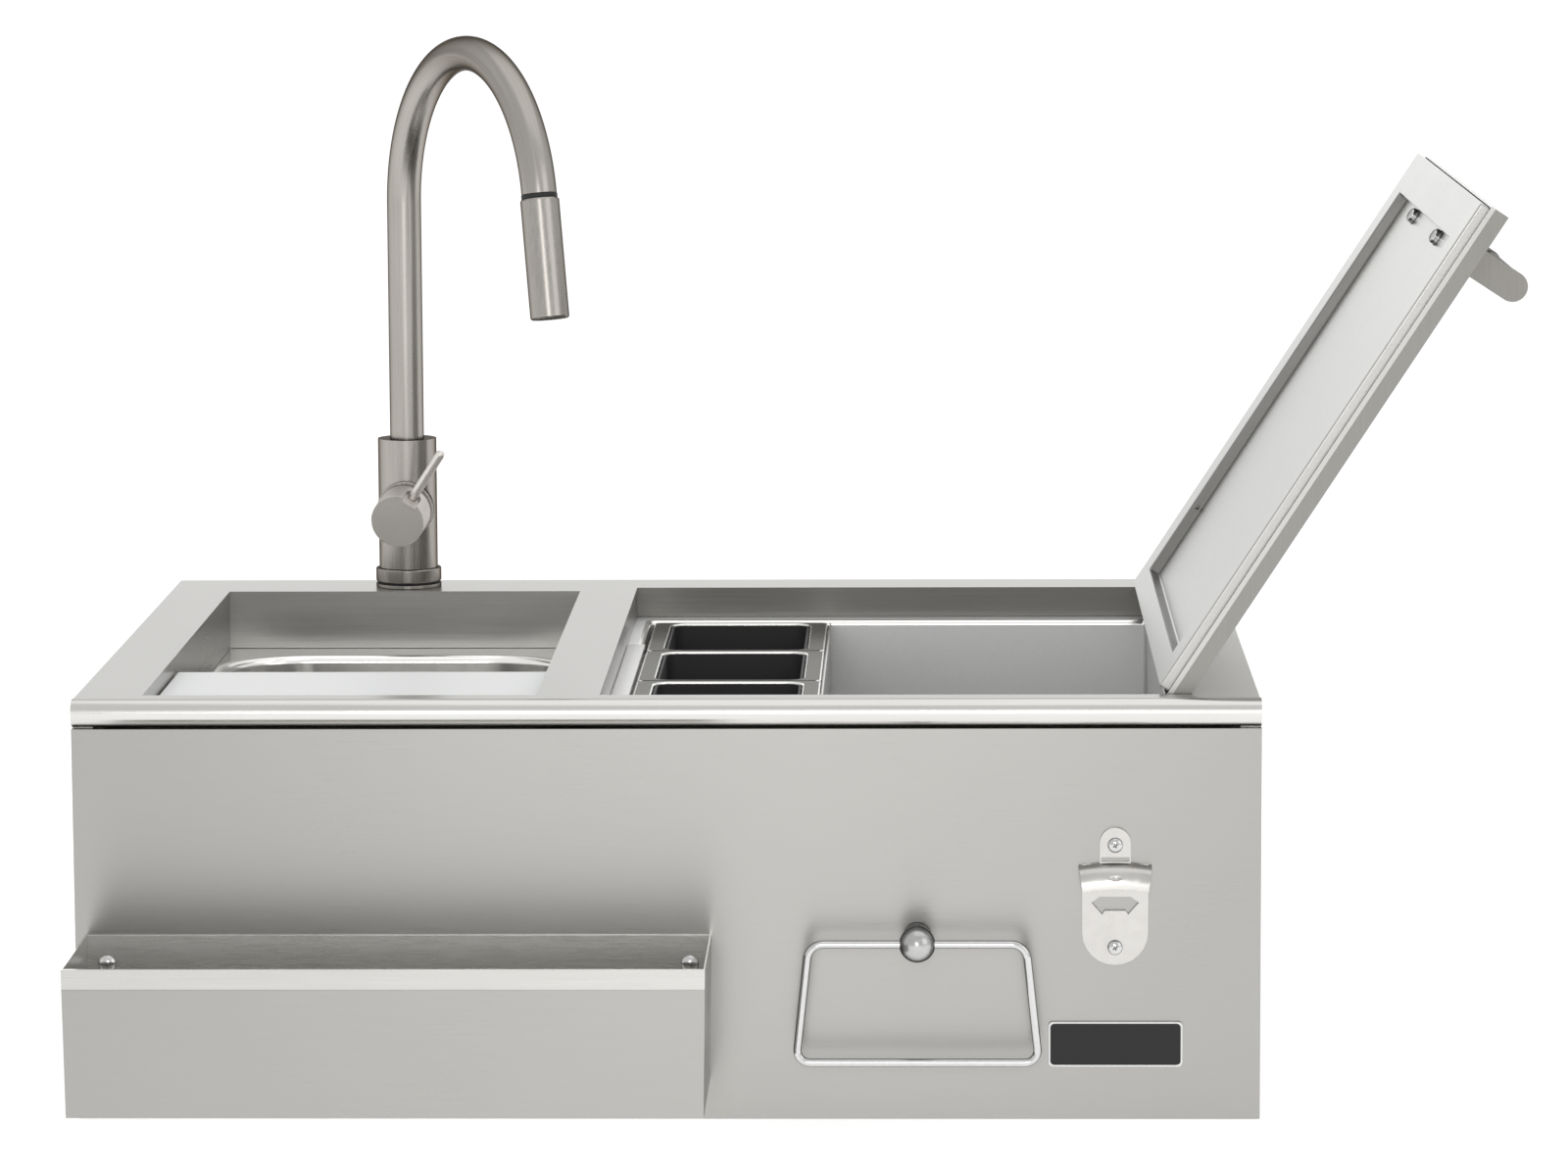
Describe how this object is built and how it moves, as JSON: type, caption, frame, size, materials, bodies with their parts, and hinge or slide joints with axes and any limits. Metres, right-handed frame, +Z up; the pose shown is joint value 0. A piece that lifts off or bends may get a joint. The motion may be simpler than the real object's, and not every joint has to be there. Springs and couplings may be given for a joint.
{
  "type": "outdoor refreshment center",
  "caption": "Drop-in outdoor refreshment center in stainless steel: sink with pull-down faucet and board, lidded ice bin with pans, speed rail, towel ring and opener.",
  "frame": {"origin": "the middle of the base panel's underside, the face that the unit stands on", "axes": "+X to the user's right along the front, +Y from the user to the back, +Z up"},
  "size_m": [0.9852, 0.718, 0.705],
  "materials": {
    "brushed": "brushed along X",
    "satin": "satin",
    "drawn": "polished after drawing",
    "chrome": "bright",
    "zinc": "zinc plated",
    "black": "matte",
    "rubber": "matte",
    "board": "fine grain",
    "foam": "cut foam",
    "enamel": "gloss"
  },
  "bodies": {
    "casing": {"deck_top": "brushed", "front_apron": "brushed", "side_panel_left": "zinc", "side_panel_right": "zinc", "rear_panel": "zinc", "base_panel": "zinc", "sink_bowl": "drawn", "sink_strainer": "drawn", "strainer_nut": "zinc", "sink_tailpiece": "drawn", "tailpiece_nut": "zinc", "board_rest_left": "brushed", "board_rest_right": "brushed", "bin_liner": "drawn", "bin_insulation": "foam", "bin_shell": "zinc", "bin_drain": "drawn", "pan_rail": "brushed", "bin_divider": "brushed", "hinge_pin_front": "chrome", "hinge_pin_back": "chrome", "faucet_plate": "satin", "faucet_gasket": "rubber", "faucet_base_ring": "satin", "faucet_shank": "zinc", "deck_washer": "rubber", "deck_nut": "zinc", "faucet_body": "satin", "speed_rail": "brushed", "rail_bolt_left": "chrome", "rail_bolt_right": "chrome", "ring_post": "chrome", "bottle_opener": "chrome", "opener_screw_upper": "chrome", "opener_screw_lower": "chrome", "name_plate": "enamel"},
    "lid": {"lid_pan": "brushed", "lid_liner": "brushed", "handle_post_front": "brushed", "handle_post_back": "brushed", "handle_tube": "satin", "handle_nut_front": "chrome", "handle_nut_back": "chrome"},
    "spout": {"spout": "satin", "spout_dock_ring": "black"},
    "spray_head": {"spray_head": "satin", "spray_nozzle": "rubber", "spray_hose": "black"},
    "valve": {"valve_stem": "chrome"},
    "valve_handle": {"valve_cap": "satin", "valve_lever": "satin"},
    "board": {"cutting_board": "board"},
    "basket": {"sink_basket": "drawn"},
    "ring": {"towel_ring": "chrome"},
    "pan_1": {"condiment_pan_1": "drawn", "pan_insert_1": "black"},
    "pan_2": {"condiment_pan_2": "drawn", "pan_insert_2": "black"},
    "pan_3": {"condiment_pan_3": "drawn", "pan_insert_3": "black"}
  },
  "joints": [
    {"name": "lid_hinge", "type": "hinge", "parent": "casing", "child": "lid", "pos_m": [0.3442, -0.0111, 0.2813], "axis": [0, 1, 0], "range_deg": [-123.2, 0]},
    {"name": "spout_swivel", "type": "hinge", "parent": "casing", "child": "spout", "pos_m": [-0.2187, 0.2688, 0.385], "axis": [0, 0, 1], "range_deg": [-149.7, 90.3]},
    {"name": "head_pull", "type": "slide", "parent": "spout", "child": "spray_head", "axis": [0, 0, -1], "range_m": [0, 0.18], "deforming": ["spray_hose"]},
    {"name": "valve_turn", "type": "hinge", "parent": "casing", "child": "valve", "pos_m": [-0.2187, 0.2378, 0.346], "axis": [0, -1, 0], "range_deg": [-17, 83]},
    {"name": "valve_tilt", "type": "hinge", "parent": "valve", "child": "valve_handle", "pos_m": [-0.2187, 0.2378, 0.346], "axis": [-0.8387, 0, 0.5446], "range_deg": [0, 25]},
    {"name": "ring_swing", "type": "hinge", "parent": "casing", "child": "ring", "pos_m": [0.1677, -0.3295, 0.1254], "axis": [-1, 0, 0], "range_deg": [-18, 90]},
    {"name": "board_lift", "type": "slide", "parent": "casing", "child": "board", "axis": [0, 0, 1], "range_m": [0, 0.1]},
    {"name": "basket_lift", "type": "slide", "parent": "casing", "child": "basket", "axis": [0, 0, 1], "range_m": [0, 0.06]},
    {"name": "pan_1_lift", "type": "slide", "parent": "casing", "child": "pan_1", "axis": [0, 0, 1], "range_m": [0, 0.11]},
    {"name": "pan_2_lift", "type": "slide", "parent": "casing", "child": "pan_2", "axis": [0, 0, 1], "range_m": [0, 0.11]},
    {"name": "pan_3_lift", "type": "slide", "parent": "casing", "child": "pan_3", "axis": [0, 0, 1], "range_m": [0, 0.11]}
  ]
}
